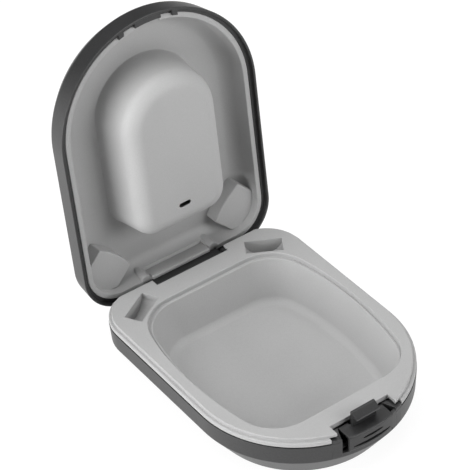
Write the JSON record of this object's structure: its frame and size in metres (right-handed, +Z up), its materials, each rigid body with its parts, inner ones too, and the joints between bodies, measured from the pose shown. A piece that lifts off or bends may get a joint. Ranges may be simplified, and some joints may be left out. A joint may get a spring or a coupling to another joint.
{
  "type": "hearing aid case",
  "caption": "Hard clamshell pocket case for hearing aids, rounded at the latch end, with a moulded tray, button-cell slots, a padded lid liner, a pinned hinge and a sprung push latch.",
  "frame": {"origin": "centre of the case's length and width, on the flat bottom that it stands on", "axes": "+X along the hinge, -Y towards the latch, +Z up; the lid is open at rest"},
  "size_m": [0.072, 0.1179, 0.1083],
  "materials": {
    "shell": "fine matte grain",
    "tray": "smooth satin",
    "liner": "smooth satin",
    "latch": "fine matte grain",
    "pin": "drawn wire",
    "spring": "rolled strip"
  },
  "bodies": {
    "base": {"base_shell": "shell", "base_tray": "tray", "hinge_pin": "pin", "latch_pin": "pin", "latch_spring": "spring"},
    "lid": {"lid_shell": "shell", "lid_liner": "liner"},
    "latch": {"latch_button": "latch"}
  },
  "joints": [
    {"name": "lid_hinge", "type": "hinge", "parent": "base", "child": "lid", "pos_m": [0, 0.04604, 0.01465], "axis": [1, 0, 0], "range_deg": [0, 94.7]},
    {"name": "latch_press", "type": "hinge", "parent": "base", "child": "latch", "pos_m": [0, -0.045, 0.0124], "axis": [-1, 0, 0], "range_deg": [0, 10], "stiffness_Nm_per_rad": 0.12, "springref_deg": -2.86, "deforming": ["latch_spring"]}
  ]
}
